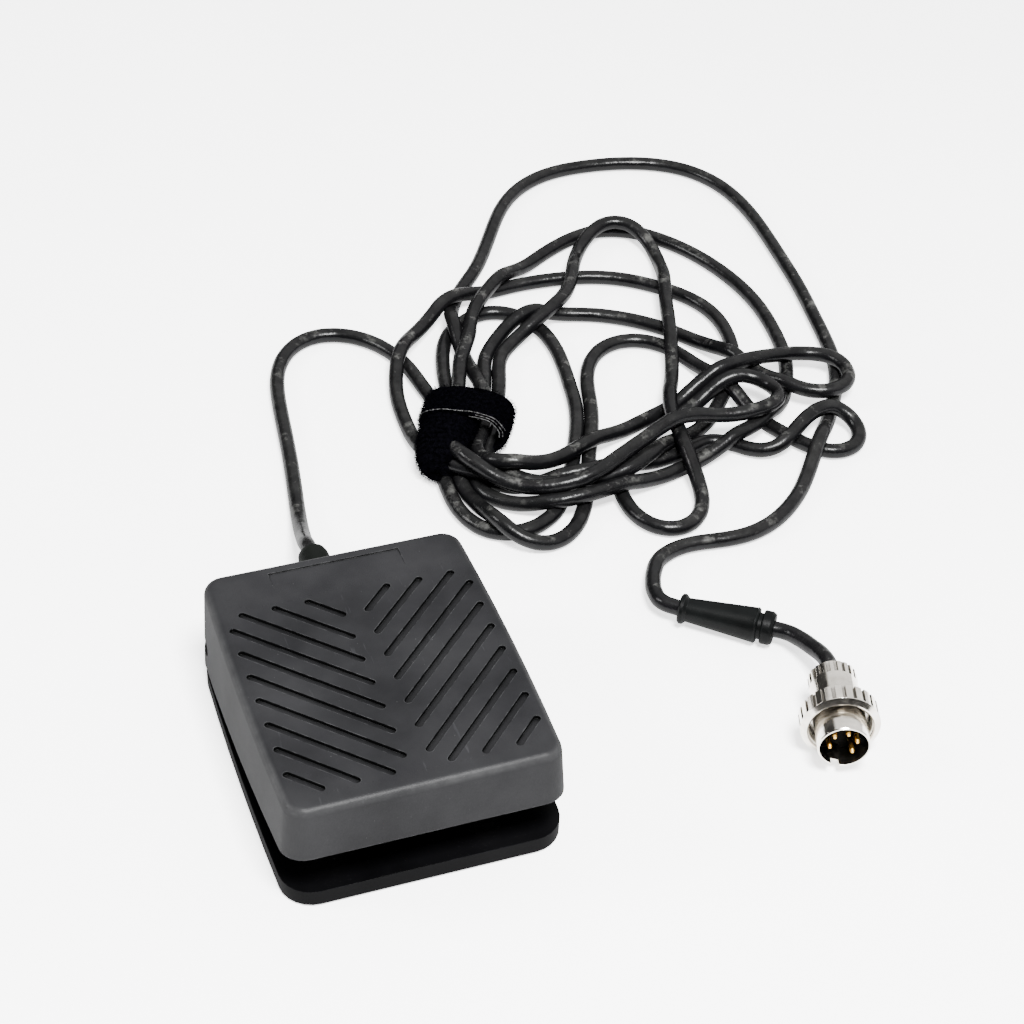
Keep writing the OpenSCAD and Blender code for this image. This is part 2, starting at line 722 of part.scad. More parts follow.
module clamp_screws() {
    color("#b4b7bb") at_clamp_screws() difference() {
        union() {
            cylinder(r = clamp_head_r, h = clamp_head_h);
            translate([0, 0, -clamp_h - clamp_screw_depth + 0.5])
                cylinder(r = clamp_screw_r, h = clamp_h + clamp_screw_depth - 0.5);
        }
        for (a = [0, 90]) rotate([0, 0, a])
            translate([-1.4, -0.3, clamp_head_h - 0.8]) cube([2.8, 0.6, cut + 1]);
    }
}

module cord_boot() {
    front = clamp_front_y - 0.1;
    rear = clamp_rear_y + 0.1;
    color("#18181a") translate([0, 0, cord_z]) rotate([-90, 0, 0]) rotate_extrude()
        polygon([[cord_r + screw_play, front - boot_flange_t], [boot_flange_r, front - boot_flange_t],
            [boot_flange_r, front], [boot_neck_r, front], [boot_neck_r, rear], [boot_flange_r, rear],
            [boot_flange_r, rear + boot_flange_t], [boot_r, rear + boot_flange_t],
            [boot_tail_r, boot_end_y - 2.5], [boot_tail_r - 0.35, boot_end_y - 1],
            [cord_r + 0.25, boot_end_y], [cord_r + screw_play, boot_end_y]]);
}

module cord_inner_end() {
    color("#141416") translate([0, 0, cord_z]) rod_y(jacket_end_y, boot_end_y, cord_r);
}

// ---- cord ----

module cord_lead_in() {
    color("#141416") tube(lead_in_route, cord_r, 8);
}

module cord_lead_out() {
    color("#141416") tube(lead_out_route, cord_r, 8);
}

module cord_tail() {
    color("#141416") tube(tail_route, cord_r, 8);
}

// A cut through the ring of turns: flat below and above, round at both sides
function coil_section(at, right, half_w) =
    let (r = coil_h / 2)
    [for (side = [1, -1], a = [-90:30:90])
        let (s = side * (half_w - r + r * cos(a)), z = r - side * r * sin(a))
        [at.x + s * right.x, at.y + s * right.y, z]];

module cord_coil() {
    line = smooth_ring(coil_line, coil_steps);
    n = len(line);
    color("#1a1a1d") closed_loft([for (i = [0:n - 1])
        let (ahead = line[(i + 1) % n] - line[(i + n - 1) % n])
        coil_section(line[i], unit([ahead.y, -ahead.x]), line[i].z)]);
}

// A flat loop of strap on the table, w wide across the turns and h high
module strap_outline(w, h) {
    for (s = [-1, 1]) translate([s * (w - h) / 2, h / 2]) circle(r = h / 2);
    translate([-(w - h) / 2, 0]) square([w - h, h]);
}

module strap_winding(w, h, front, rear) {
    translate([0, rear, 0]) rotate([90, 0, 0]) linear_extrude(rear - front) difference() {
        strap_outline(w, h);
        translate([0, strap_t]) strap_outline(w - 2 * strap_t, h - 2 * strap_t);
    }
}

// The hook-and-loop strap round the turns
module cord_strap() {
    color("#0e0e0f") translate([strap_at.x, strap_at.y, 0]) rotate([0, 0, strap_turn]) {
        strap_winding(strap_outer_w, strap_outer_h, -strap_l / 2, strap_l / 2);
        translate([wrap_x, 0, 0])
            strap_winding(wrap_outer_w, wrap_outer_h, -strap_l / 2 - wrap_l, cut - strap_l / 2);
    }
}

module cord_sleeve() {
    color("#161618") translate(sleeve_at) rotate([0, 0, sleeve_turn]) rotate([0, 90, 0]) rotate_extrude()
        polygon([[0, 0], [sleeve_flange_r - 0.5, 0], [sleeve_flange_r, 0.5], [sleeve_flange_r, 1.3],
            [sleeve_flange_r - 0.5, 1.8], [sleeve_thin_r, 2.2], [sleeve_thick_r - 0.15, sleeve_l - 5.2],
            [sleeve_thick_r, sleeve_l - 4.9], [sleeve_thick_r - 0.4, sleeve_l - 4.4], [3.6, sleeve_l - 4.3],
            [3.6, sleeve_l - 3.3], [sleeve_collar_r - 0.3, sleeve_l - 3.2], [sleeve_collar_r, sleeve_l - 2.9],
            [sleeve_collar_r, sleeve_l - 0.9], [sleeve_collar_r - 0.5, sleeve_l], [0, sleeve_l]]);
}

// ---- plug ----

collar_t = 0.8;
side_play = 0.2;
ring_web = 1;
ring_start = back_shell_l + side_play;
ring_end = ring_start + ring_l;
flange_start = ring_start + ring_web + side_play;
shell_flange_r = shell_r + 0.9;
ring_bore_r = ring_r - 1.9;
insert_face = plug_l - 6;
contact_tip = plug_l - 0.8;
grip_w = 1;
grip_d = 0.9;
shell_grips = 20;
shell_grip_d = 0.7;
shell_grip_l = 4.3;
key_w = 2.2;
key_l = 1.8;

// +Z of the children runs from the cord's end of the plug to its contacts
module at_plug() {
    translate(plug_at) rotate([0, 0, plug_turn]) rotate([90, 0, 0]) children();
}

module grip_slots(count, r, depth, width, from, to) {
    for (k = [0:count - 1]) rotate([0, 0, 360 * k / count])
        translate([r - depth, -width / 2, from]) cube([depth + cut, width, to - from]);
}

module plug_back_shell() {
    color("#c8c5bd") at_plug() difference() {
        rotate_extrude() polygon([[0, 0], [back_shell_r - 0.7, 0], [back_shell_r, 0.7],
            [back_shell_r, back_shell_l - collar_t], [back_shell_r + 1, back_shell_l - collar_t],
            [back_shell_r + 1, back_shell_l], [0, back_shell_l]]);
        grip_slots(shell_grips, back_shell_r, shell_grip_d, grip_w, -cut, shell_grip_l);
    }
}

module plug_coupling_ring() {
    color("#d0cdc6") at_plug() difference() {
        rotate_extrude() polygon([[shell_r + ring_play, ring_start], [ring_r - 0.3, ring_start],
            [ring_r, ring_start + 0.3], [ring_r, ring_end - 1], [ring_r - 1.3, ring_end],
            [ring_bore_r + 0.3, ring_end], [ring_bore_r, ring_end - 0.3], [ring_bore_r, ring_start + ring_web],
            [shell_r + ring_play, ring_start + ring_web]]);
        grip_slots(ring_slots, ring_r, grip_d, grip_w, ring_start - cut, ring_end - 1.2);
    }
}

module plug_contact_shell() {
    color("#d6d3cb") at_plug() difference() {
        rotate_extrude() polygon([[shell_r - shell_wall, back_shell_l], [shell_r, back_shell_l],
            [shell_r, flange_start], [shell_flange_r, flange_start], [shell_flange_r, flange_start + 0.8],
            [shell_r, flange_start + 0.8], [shell_r, plug_l - 0.3], [shell_r - 0.2, plug_l],
            [shell_r - shell_wall, plug_l]]);
        rotate([0, 0, plug_roll]) translate([shell_r - 2 * shell_wall, -key_w / 2, plug_l - key_l])
            cube([4 * shell_wall, key_w, key_l + cut]);
    }
}

module plug_insert() {
    color("#111112") at_plug() difference() {
        translate([0, 0, back_shell_l]) cylinder(r = shell_r - shell_wall - 0.05, h = insert_face - back_shell_l);
        rotate([0, 0, plug_roll]) translate([shell_r - 2, -key_w / 2, insert_face - 2]) cube([3, key_w, 3]);
    }
}

module plug_contacts() {
    color("#c9a44a") at_plug() for (k = [1:5]) rotate([0, 0, plug_roll + 60 * k])
        translate([contact_circle_r, 0, 0]) rotate_extrude($fn = 32)
            polygon([[0, insert_face], [contact_r, insert_face], [contact_r, contact_tip - 0.7],
                [contact_r * 0.5, contact_tip], [0, contact_tip]]);
}

base_plate();
rubber_feet();
pedal_cover();
return_springs();
switch_case();
switch_lid();
switch_plunger();
switch_lever();
lever_pin();
switch_terminals();
crimp_sleeves();
core_wires();
switch_screws();
switch_nuts();
cord_clamp();
clamp_screws();
cord_boot();
cord_inner_end();
cord_lead_in();
cord_coil();
cord_strap();
cord_lead_out();
cord_sleeve();
cord_tail();
plug_back_shell();
plug_coupling_ring();
plug_contact_shell();
plug_insert();
plug_contacts();
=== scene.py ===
"""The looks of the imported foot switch: its cord and strap, materials, camera and light."""
import math

import bpy
import numpy as np
from mathutils import Matrix, Vector


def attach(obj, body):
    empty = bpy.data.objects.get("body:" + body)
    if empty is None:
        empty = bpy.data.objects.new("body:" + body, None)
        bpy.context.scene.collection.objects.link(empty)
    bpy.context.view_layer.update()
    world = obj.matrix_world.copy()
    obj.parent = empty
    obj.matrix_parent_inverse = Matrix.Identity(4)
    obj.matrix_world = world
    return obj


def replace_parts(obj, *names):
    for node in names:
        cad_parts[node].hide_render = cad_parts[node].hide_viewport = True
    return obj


MM = 0.001
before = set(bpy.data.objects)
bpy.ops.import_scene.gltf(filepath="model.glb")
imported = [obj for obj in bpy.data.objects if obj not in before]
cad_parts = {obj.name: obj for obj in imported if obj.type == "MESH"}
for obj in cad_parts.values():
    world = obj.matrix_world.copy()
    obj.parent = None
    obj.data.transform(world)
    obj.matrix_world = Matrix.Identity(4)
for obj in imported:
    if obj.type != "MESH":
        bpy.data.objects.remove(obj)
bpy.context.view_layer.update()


def mm(x, y, z):
    """A point given in millimetres."""
    return Vector((x, y, z)) * MM


def heading(degrees):
    """A level unit vector, turned from +X towards +Y."""
    a = math.radians(degrees)
    return Vector((math.cos(a), math.sin(a), 0))


# ---- camera ----

CAMERA_AT = mm(-116.7, -399.8, 430.0)
CAMERA_YAW = 20.61
CAMERA_DOWN = 40.02
CAMERA_ROLL = 2.27
LENS_MM = 82.55


def make_camera():
    """The main view: turned to the right by its yaw, tilted down, and rolled a little."""
    yaw, down, roll = (math.radians(v) for v in (CAMERA_YAW, CAMERA_DOWN, CAMERA_ROLL))
    ahead = Vector((math.sin(yaw) * math.cos(down), math.cos(yaw) * math.cos(down), -math.sin(down)))
    right = Vector((math.cos(yaw), -math.sin(yaw), 0))
    up = right.cross(ahead)
    right, up = right * math.cos(roll) + up * math.sin(roll), up * math.cos(roll) - right * math.sin(roll)
    data = bpy.data.cameras.new("camera")
    data.lens = LENS_MM
    data.sensor_width = 36
    data.clip_start = 0.02
    data.clip_end = 20
    camera = bpy.data.objects.new("camera", data)
    camera.matrix_world = Matrix.Translation(CAMERA_AT) @ Matrix((right, up, -ahead)).transposed().to_4x4()
    bpy.context.scene.collection.objects.link(camera)
    bpy.context.scene.camera = camera


# ---- node materials ----

# The black finishes get their gloss from a thin coat, so that their rims stay dark over the bright floor.


def thin_coat(share, rough):
    """Socket values of a black finish: no gloss of its own, under a coat of this share and roughness."""
    return {"Specular_IOR_Level": 0.0, "Coat_Weight": share, "Coat_Roughness": rough}


class Shader:
    """A material's node tree, with short calls for the nodes that the finishes share."""

    def __init__(self, name, **sockets):
        self.material = bpy.data.materials.new(name)
        self.material.use_nodes = True
        self.tree = self.material.node_tree
        self.bsdf = self.tree.nodes["Principled BSDF"]
        for socket, value in sockets.items():
            self.bsdf.inputs[socket.replace("_", " ")].default_value = value
        self.place = self.tree.nodes.new("ShaderNodeTexCoord").outputs["Object"]

    def node(self, kind, *links, **values):
        """A new node with the given links (socket, source) and the given settings or socket values."""
        made = self.tree.nodes.new(kind)
        for key, value in values.items():
            if hasattr(made, key):
                setattr(made, key, value)
            else:
                made.inputs[key.replace("_", " ")].default_value = value
        for socket, source in links:
            self.tree.links.new(source, made.inputs[socket])
        return made

    def noise(self, scale, detail=4, roughness=0.55, stretch=None):
        """Noise with the given number of waves per metre."""
        place = self.place
        if stretch:
            place = self.node("ShaderNodeMapping", ("Vector", place), Scale=stretch).outputs[0]
        return self.node("ShaderNodeTexNoise", ("Vector", place), Scale=scale, Detail=detail,
                         Roughness=roughness).outputs["Fac"]

    def cells(self, scale):
        """Distance to the nearest of many scattered points, which makes small round cells."""
        return self.node("ShaderNodeTexVoronoi", ("Vector", self.place), Scale=scale).outputs["Distance"]

    def ramp(self, source, *stops):
        """A colour or value ramp: stops are (place, value or colour)."""
        made = self.node("ShaderNodeValToRGB", ("Fac", source))
        bands = made.color_ramp.elements
        for i, (place, value) in enumerate(stops):
            band = bands[i] if i < 2 else bands.new(place)
            band.position = place
            grey = isinstance(value, (int, float))
            band.color = (value, value, value, 1) if grey else (*value, 1)
        return made.outputs["Color"]

    def mixed(self, share, first, second):
        """The first colour where the share is 0, and the second where it is 1."""
        mix = self.node("ShaderNodeMix", ("Factor", share), (6, first), (7, second), data_type="RGBA")
        return mix.outputs[2]

    def times(self, first, second):
        """The product of two values."""
        return self.node("ShaderNodeMath", (0, first), (1, second), operation="MULTIPLY").outputs[0]

    def near_edge(self, radius):
        """How near an edge is, from 1 at it to 0 at the radius, with the plain and soft directions."""
        plain = self.node("ShaderNodeNewGeometry").outputs["Normal"]
        soft = self.node("ShaderNodeBevel", samples=6, Radius=radius).outputs["Normal"]
        same = self.node("ShaderNodeVectorMath", (0, soft), (1, plain), operation="DOT_PRODUCT")
        return self.ramp(same.outputs["Value"], (0.8, 1.0), (0.985, 0.0)), plain, soft

    def rounded(self, radius):
        """The surface's direction with its sharp edges softened over the radius."""
        share, plain, soft = self.near_edge(radius)
        mix = self.node("ShaderNodeMix", ("Factor", share), (4, plain), (5, soft), data_type="VECTOR")
        return mix.outputs[1]

    def edges(self, radius):
        """How near an edge is, from 1 at it to 0 at the radius."""
        return self.near_edge(radius)[0]

    def facing_up(self, *stops):
        """A ramp over how far the surface faces up, from 0 on a wall to 1 on a level face."""
        way = self.node("ShaderNodeNewGeometry").outputs["Normal"]
        return self.ramp(self.node("ShaderNodeSeparateXYZ", ("Vector", way)).outputs["Z"], *stops)

    def hollows(self, depth):
        """Near 1 in hollows and slots narrower than the depth, and 0 on open faces; it masks painted shade.
        """
        open_share = self.node("ShaderNodeAmbientOcclusion", samples=6, Distance=depth).outputs["AO"]
        return self.ramp(open_share, (0.35, 1.0), (0.85, 0.0))

    def link(self, socket, source):
        """Feeds one of the finish's own sockets."""
        self.tree.links.new(source, self.bsdf.inputs[socket])
        return self

    def bumps(self, *layers, start=None):
        """Height layers, each (source, depth in metres), one over the other."""
        normal = start
        for source, depth in layers:
            links = [("Height", source)] + ([("Normal", normal)] if normal else [])
            normal = self.node("ShaderNodeBump", *links, Distance=depth, Strength=1.0).outputs["Normal"]
        return self.link("Normal", normal).link("Coat Normal", normal)


# Radius of the soft edges, in metres
MOULDED_EDGE = 0.0003
PLATED_EDGE = 0.0002


def moulded(name, dark, light, rough, grain, grain_depth, worn=2.5, **sockets):
    """Moulded plastic or rubber: fine grain, patchy sheen, soft edges and paler wear along them."""
    s = Shader(name, **sockets)
    patches = s.noise(60, 5)
    base = s.ramp(patches, (0.3, dark), (0.75, light))
    wear = s.times(s.edges(1.6 * MOULDED_EDGE), s.ramp(s.noise(350, 4), (0.45, 0.0), (0.7, 1.0)))
    paler = [v * worn for v in light]
    s.link("Base Color", s.mixed(wear, base, s.ramp(patches, (0.0, paler), (1.0, paler))))
    s.link("Roughness", s.ramp(s.noise(160, 6), (0.3, rough - 0.07), (0.7, rough + 0.07)))
    s.bumps((s.noise(grain, 3, 0.6), grain_depth), (s.noise(45, 2), 0.00005), start=s.rounded(MOULDED_EDGE))
    return s.material


def metal(name, dark, light, rough):
    """Plated or bare metal: uneven plating, dull patches, soft edges, and painted shade in its slots."""
    s = Shader(name, Metallic=1.0)
    plating = s.ramp(s.noise(220, 5), (0.3, dark), (0.7, light))
    # Near black in the slots and hollows, where shade falls: painted shade.
    slot_shade = s.ramp(s.noise(300, 2), (0.0, (0.02, 0.018, 0.014)), (1.0, (0.06, 0.055, 0.045)))
    s.link("Base Color", s.mixed(s.hollows(1.2 * MM), plating, slot_shade))
    s.link("Roughness", s.ramp(s.noise(500, 5), (0.3, rough), (0.75, rough + 0.14)))
    s.bumps((s.noise(1500, 3), 0.00001), start=s.rounded(PLATED_EDGE))
    return s.material


# Points closer than this are joined, and faces that meet at more than this angle stay flat
JOINED_WITHIN = 0.01 * MM
FLAT_ANGLE = 28


def dress(material, *nodes):
    """Gives the CAD nodes a material, and keeps the shading of their flat faces flat."""
    for name in nodes:
        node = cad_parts[name]
        node.data.materials.clear()
        node.data.materials.append(material)
        node.modifiers.new("joined", "WELD").merge_threshold = JOINED_WITHIN
        node.modifiers.new("flat_faces", "EDGE_SPLIT").split_angle = math.radians(FLAT_ANGLE)
        node.modifiers.new("smooth_bends", "WEIGHTED_NORMAL").weight = 50


# ---- new pieces ----


def add_mesh(name, verts, faces, material, smooth=True):
    """A new mesh object with one material."""
    mesh = bpy.data.meshes.new(name)
    mesh.from_pydata([tuple(v) for v in verts], [], faces)
    mesh.materials.append(material)
    for p in mesh.polygons:
        p.use_smooth = smooth
    obj = bpy.data.objects.new(name, mesh)
    bpy.context.scene.collection.objects.link(obj)
    return obj


# ---- the cord ----

CORD_D = 4.5 * MM
CORD_STEP = 2.5 * MM
# Height of the cord's middle where it lies on the table, in millimetres
LYING_Z = 2.3
BOOT_END = mm(0, 62, 15.6)
SLEEVE_AT = mm(91.5, 22.7, 5)
SLEEVE_AIM = heading(-36)
SLEEVE_L = 25.9 * MM
SLEEVE_END = SLEEVE_AT + SLEEVE_L * SLEEVE_AIM
PLUG_AT = mm(116.6, -18.4, 10.2)
PLUG_AIM = heading(-108)

# The strap's middle, the heading of the strands in it, and the heading across them
STRAP_AT = mm(61, 111, 0)
STRANDS_AIM = heading(58)
ACROSS = heading(-32)
# Where a strand lies in the strap: its distance to the right of the middle, and its height
SLOTS = [(-8.2, 3.2), (-3.4, 2.4), (1.3, 2.4), (6, 3), (-5.8, 7.8), (-1, 6.6), (3.7, 7.2)]
TO_FRONT, TO_REAR = -1, 1

# The cord's stretches in millimetres. A third number is a strand's height in the pile, before it is
# let down.
LEAD_IN = [(0, 64, 15.6), (0.3, 69, 13.2), (1.5, 76, 9), (3, 85, 5.3), (4.8, 95, 3), (7, 107), (9, 119),
           (11, 133), (13, 147), (16, 160), (22, 170), (30, 175), (38, 174), (46, 169), (52, 160),
           (55, 150), (56, 137)]
SMALL_TURN = [(50, 97), (48, 87), (49, 78), (53, 71), (60, 67), (68, 69), (77, 77), (85, 90), (93, 105),
              (97, 117), (99, 130), (101, 142), (101, 152, 3), (99, 162, 4), (93, 170, 5), (85, 172, 5),
              (77, 169, 5), (70, 161, 5), (65, 148, 5), (62, 134, 4)]
WAVY_TURN = [(55, 91, 3), (54, 80, 4), (55, 70, 5), (61, 62, 4), (69, 60), (77, 64), (83, 73), (89, 86),
             (95, 101), (101, 115), (104, 127), (109, 138), (118, 145, 3), (130, 143, 4), (138, 131, 4),
             (142, 115, 4), (146, 101, 3), (150, 91, 3), (155, 81), (162, 74), (170, 75), (175, 83),
             (170, 91, 4), (161, 90, 7), (153, 83, 7), (146, 79, 5), (139, 82, 4), (134, 89, 4),
             (126, 93, 4), (117, 90, 4), (108, 86, 4), (96, 83, 4), (82, 83, 4), (70, 87, 4),
             (59, 91, 4), (50, 98, 5)]
ROUND_TURN = [(46, 112, 6), (46, 125, 7), (47, 138, 8), (51, 150, 9), (57, 160, 9), (66, 168, 9),
              (75, 174, 8), (85, 180, 8), (96, 183, 8), (108, 183, 7), (120, 182, 7), (130, 179, 6),
              (140, 173, 5), (148, 165, 5), (154, 156, 5), (156, 145, 5), (154, 132, 4), (149, 120, 3),
              (142, 110, 3), (134, 101, 3), (126, 94, 4), (115, 88, 5), (102, 83, 7), (88, 79, 8),
              (76, 81, 8), (66, 86, 8), (61, 93, 5)]
TALL_TURN = [(76, 131, 8), (82, 148, 11), (90, 154, 11), (99, 158, 11), (109, 165, 11), (117, 176, 12),
             (122, 187, 12), (128, 197, 12), (136, 204, 13), (145, 203, 14), (150, 195, 13),
             (150, 184, 12), (146, 170, 11), (142, 158, 12), (138, 146, 13), (134, 133, 13),
             (129, 120, 13), (123, 107, 14), (119, 96, 12), (118, 85, 9), (118, 75, 7), (117, 66, 4),
             (112, 58), (105, 55), (98, 59), (95, 67), (96, 76, 3), (100, 85, 4), (107, 93, 5),
             (117, 101, 7), (128, 107, 9), (139, 111, 10), (150, 109, 11), (155, 101, 13), (151, 92, 14),
             (140, 90, 15), (125, 93, 16), (110, 89, 15), (96, 81, 13), (85, 76, 11), (75, 76, 11),
             (65, 82, 12), (57, 90, 12), (52, 98, 10)]
OUTER_TURN = [(67, 138, 11), (74, 153, 15), (79, 165, 14), (86, 174, 12), (94, 182, 11), (103, 189, 9),
              (113, 196, 7), (124, 202, 6), (136, 205, 5), (147, 201, 4), (157, 192), (164, 180),
              (169, 165), (171, 150), (170, 136), (168, 123, 3), (163, 111, 4), (156, 100, 5),
              (146, 91, 7), (134, 86, 6), (122, 82, 5), (109, 79, 4), (95, 75, 4), (81, 73, 4),
              (69, 76, 5), (60, 84, 5), (56, 94, 3)]
LONG_TURN = [(73, 133, 8), (79, 149, 12), (88, 159, 11), (99, 163, 9), (112, 163, 9), (124, 158, 8),
             (136, 149, 8), (145, 137, 7), (151, 122, 6), (158, 108, 5), (165, 99, 6), (174, 97, 9),
             (181, 103, 10), (180, 113, 11), (172, 119, 12), (162, 118, 13), (151, 115, 12),
             (139, 112, 12), (126, 109, 11), (113, 105, 10), (99, 99, 9), (87, 93, 9), (78, 89, 9),
             (70, 87, 9), (63, 88, 8), (59, 94, 8)]
LAST_LEG = [(72, 133, 9), (73, 150, 12), (73, 162, 10), (75, 173, 8), (80, 182, 6), (86, 189, 4)]
LEAD_OUT = [(92, 196), (98, 206), (104, 216), (110, 226), (119, 236), (132, 243), (148, 244), (165, 241),
            (179, 233), (187, 220), (190, 204), (190, 188), (189, 172), (188, 157), (186, 143),
            (184, 129), (181, 114), (176, 103), (169, 92), (161, 81), (153, 71), (144, 60), (134, 52),
            (125, 48), (116, 47.5), (107, 49.5), (100, 48.5), (94, 44.5, 2.7), (90.8, 39.5, 3.2),
            (88.6, 34.5, 3.9), (87.6, 30, 4.5), (87.9, 26.7, 4.9)]
TAIL = [(117, 1, 6), (118.2, -5, 7.5), (118.5, -11, 9.3)]
# What the cord does in turn: a slot of the strap with the way through it, or a stretch
COURSE = [(0, TO_FRONT), SMALL_TURN, (1, TO_FRONT), WAVY_TURN, ROUND_TURN, (3, TO_REAR), TALL_TURN,
          (4, TO_REAR), OUTER_TURN, (2, TO_REAR), LONG_TURN, (6, TO_REAR), LAST_LEG]


def route_points(points):
    """Points of a stretch: those without a height lie on the table."""
    return [mm(*p) if len(p) == 3 else mm(*p, LYING_Z) for p in points]


def through_strap(slot, way):
    """Three points along the strands' heading, at one place in the strap."""
    side, height = SLOTS[slot]
    middle = STRAP_AT + ACROSS * side * MM + mm(0, 0, height)
    return [middle + STRANDS_AIM * way * step * MM for step in (-8, 0, 8)]


def cord_route():
    """All the listed points from the boot to the plug."""
    route = [BOOT_END] + route_points(LEAD_IN)
    for part in COURSE:
        route += through_strap(*part) if isinstance(part, tuple) else route_points(part)
    route += route_points(LEAD_OUT)
    route += [SLEEVE_AT - SLEEVE_AIM * 2.5 * MM, SLEEVE_AT, SLEEVE_AT + SLEEVE_AIM * SLEEVE_L / 2, SLEEVE_END,
              SLEEVE_END + SLEEVE_AIM * 3 * MM]
    return route + route_points(TAIL) + [PLUG_AT - PLUG_AIM * 3 * MM, PLUG_AT]


def smooth_line(points, steps=8):
    """A smooth line through the points (Catmull-Rom)."""
    p = np.array([tuple(v) for v in points])
    p = np.vstack([2 * p[0] - p[1], p, 2 * p[-1] - p[-2]])
    t = np.arange(steps)[:, None] / steps
    line = [0.5 * (2 * p[i] + (p[i + 1] - p[i - 1]) * t
                   + (2 * p[i - 1] - 5 * p[i] + 4 * p[i + 1] - p[i + 2]) * t ** 2
                   + (3 * p[i] - p[i - 1] - 3 * p[i + 1] + p[i + 2]) * t ** 3) for i in range(1, len(p) - 2)]
    return np.vstack(line + [p[-2:-1]])


def evenly(line, step):
    """The line again, with a point at each step of its length."""
    along = np.r_[0, np.cumsum(np.linalg.norm(np.diff(line, axis=0), axis=1))]
    places = np.linspace(0, along[-1], int(round(along[-1] / step)) + 1)
    return np.stack([np.interp(places, along, line[:, k]) for k in range(3)], 1)


def bent(line):
    """How far each point lies from the middle between its neighbours."""
    offset = np.zeros_like(line)
    offset[1:-1] = (line[:-2] + line[2:]) / 2 - line[1:-1]
    return offset


# How the cord is let down
SETTLE_ROUNDS = 500
HELD_AT_BOOT, HELD_AT_PLUG = 16, 34    # points that stay where they are
SEARCH_EVERY = 6                       # rounds from one search for near strands to the next
SINK = 0.04 * MM                       # in each round
STIFF_PASSES = 16                      # in each round
EVENING, STIFFNESS = 0.01, 0.2         # what a pass evens out, and how it keeps the cord from kinking
HOMING = 0.05                          # share of the way back to its place in plan
PUSH_PASSES, PUSH_GAIN = 2, 1.3
LEAST_RISE, SIDEWAYS = 0.8 * MM, 0.8   # strands that cross part upwards more than sideways
TABLE_GAP = 0.1                        # millimetres


def settled(line):
    """The cord let down onto the table and itself: it sinks, stays stiff, and its strands push apart."""
    home, line = line, line.copy()
    count = len(line)
    touching = 1.02 * CORD_D
    order = np.arange(count)
    strangers = np.triu(order[None] - order[:, None] >= math.ceil(3 * CORD_D / CORD_STEP))
    held = np.zeros(count, bool)
    held[:HELD_AT_BOOT] = held[-HELD_AT_PLUG:] = True
    for turn in range(SETTLE_ROUNDS):
        if turn % SEARCH_EVERY == 0:
            apart = ((line[:, None] - line[None]) ** 2).sum(2)
            near = np.nonzero(strangers & (apart < (2 * CORD_D) ** 2))
            above = np.sign(home[near[0], 2] - home[near[1], 2] + 1e-9)
        line[:, 2] -= SINK
        for _ in range(STIFF_PASSES):
            offset = bent(line)
            line += EVENING * offset - STIFFNESS * bent(offset)
        line[:, :2] += HOMING * (home[:, :2] - line[:, :2])
        for _ in range(PUSH_PASSES):
            between = line[near[0]] - line[near[1]]
            gap = np.linalg.norm(between, axis=1)
            close = gap < touching
            a, b, push, up, gap = near[0][close], near[1][close], between[close], above[close], gap[close]
            push[:, 2] = np.where(push[:, 2] * up < LEAST_RISE, LEAST_RISE * up, push[:, 2])
            push[:, :2] *= SIDEWAYS
            push *= ((touching - gap) / 2 / np.linalg.norm(push, axis=1))[:, None]
            moves, hits = np.zeros_like(line), np.zeros(count)
            np.add.at(moves, a, push)
            np.add.at(moves, b, -push)
            np.add.at(hits, np.r_[a, b], 1)
            line += PUSH_GAIN * moves / np.maximum(hits, 1)[:, None]
        line[:, 2] = np.maximum(line[:, 2], (LYING_Z + TABLE_GAP) * MM)
        line[held] = home[held]
    return line


def cord_material():
    """Soft jacket: near black, with dust and painted sheen on its upper side, and streaks of painted
    highlight there.
    """
    s = Shader("cord_jacket", **thin_coat(0.2, 0.25))
    base = s.ramp(s.noise(90, 6), (0.35, (0.0008, 0.0008, 0.001)), (0.75, (0.0035, 0.0035, 0.0038)))
    # Paler where the cord faces up: dust and painted sheen.
    upper = s.facing_up((0.45, 0.0), (0.9, 1.0))
    dust_and_sheen = s.mixed(s.times(upper, s.ramp(s.noise(55, 5, 0.6), (0.3, 0.15), (0.75, 1.0))), base,
                    s.ramp(s.noise(240, 4), (0.3, (0.002, 0.002, 0.002)), (0.75, (0.01, 0.01, 0.0097))))
    # Sparse pale streaks on the upper side: painted highlight.
    highlight_streaks = s.times(upper, s.ramp(s.noise(130, 6, 0.7), (0.56, 0.0), (0.66, 1.0)))
    s.link("Base Color", s.mixed(highlight_streaks, dust_and_sheen, s.ramp(s.noise(400, 3), (0.3, (0.012, 0.012, 0.0115)),
                                                       (0.8, (0.055, 0.055, 0.052)))))
    s.link("Roughness", s.ramp(s.noise(240, 6), (0.3, 0.2), (0.7, 0.36)))
    s.bumps((s.noise(170, 3), 0.00035), (s.noise(2500, 2), 0.00002))
    return s.material


def make_cord():
    """The whole cord as one tube, from the boot through the strap and the sleeve to the plug."""
    line = settled(evenly(smooth_line(cord_route()), CORD_STEP))
    data = bpy.data.curves.new("cord", "CURVE")
    data.dimensions = "3D"
    data.bevel_depth = CORD_D / 2
    data.bevel_resolution = 5
    data.resolution_u = 4
    data.use_fill_caps = True
    spline = data.splines.new("BEZIER")
    knots = np.vstack([line[:-1:2], line[-1:]])
    spline.bezier_points.add(len(knots) - 1)
    for knot, place in zip(spline.bezier_points, knots):
        knot.co = place
        knot.handle_left_type = knot.handle_right_type = "AUTO"
    data.materials.append(cord_material())
    obj = bpy.data.objects.new("cord", data)
    bpy.context.scene.collection.objects.link(obj)
    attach(obj, "base")
    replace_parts(obj, "cord_lead_in", "cord_coil", "cord_lead_out", "cord_tail")


# ---- the strap ----

